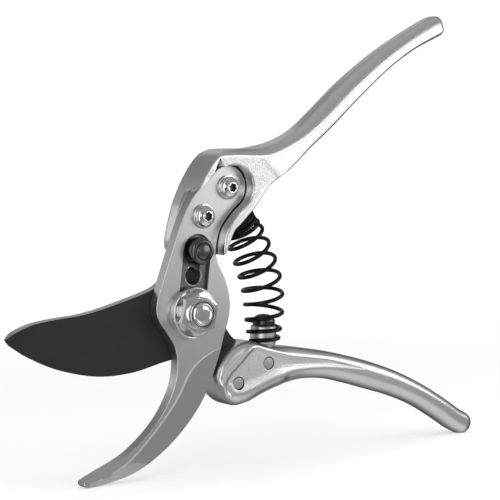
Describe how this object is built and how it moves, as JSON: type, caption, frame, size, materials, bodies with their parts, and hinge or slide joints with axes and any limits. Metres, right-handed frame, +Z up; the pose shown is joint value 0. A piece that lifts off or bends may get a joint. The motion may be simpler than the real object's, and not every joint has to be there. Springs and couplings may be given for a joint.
{
  "type": "pruning shears",
  "caption": "Bypass pruning shears with curved cutting blade, hooked counter-blade, slim alloy handles, coil return spring and thumb catch.",
  "frame": {"origin": "centre of the pivot bolt head's outer face, on the pivot's axis", "axes": "+Y along the pivot from the nut to the bolt head, +X from the blades to the handles, +Z up from the lower handle to the upper"},
  "size_m": [0.1944, 0.02, 0.1525],
  "materials": {
    "handle_alloy": "satin, fine bead-blasted grain, brighter on the edges",
    "hook_steel": "satin ground steel",
    "bright_steel": "bright plated steel",
    "blade_coat": "satin black coating, bare ground steel along the back",
    "nylon": "translucent white nylon",
    "spring_black": "semi-gloss black",
    "catch_black": "satin black",
    "catch_steel": "plain steel",
    "rubber_black": "black rubber",
    "rivet_steel": "ground flush",
    "peg_alloy": "turned"
  },
  "bodies": {
    "fixed_arm": {"upper_handle": "handle_alloy", "anvil_hook": "hook_steel", "anvil_screws": "bright_steel", "anvil_washers": "bright_steel", "pivot_bolt": "bright_steel", "pivot_nut": "bright_steel", "nut_insert": "nylon", "pivot_washer": "bright_steel", "rear_washer": "bright_steel", "upper_spring_peg": "peg_alloy", "return_spring": "spring_black"},
    "moving_arm": {"cutting_blade": "blade_coat", "lower_handle": "handle_alloy", "blade_rivets": "rivet_steel", "lower_spring_peg": "peg_alloy", "stop_bumper": "rubber_black"},
    "catch": {"catch_button": "catch_black", "catch_slider": "catch_steel", "catch_screw": "catch_steel", "catch_spring_washer": "catch_steel"}
  },
  "joints": [
    {"name": "blade_pivot", "type": "hinge", "parent": "fixed_arm", "child": "moving_arm", "pos_m": [0, -0.0069, 0], "axis": [0, -1, 0], "range_deg": [0, 48], "stiffness_Nm_per_rad": 1, "springref_deg": -34.38, "deforming": ["return_spring"]},
    {"name": "catch_slide", "type": "slide", "parent": "fixed_arm", "child": "catch", "axis": [-0.1219, 0, -0.9925], "range_m": [0, 0.0038]}
  ]
}
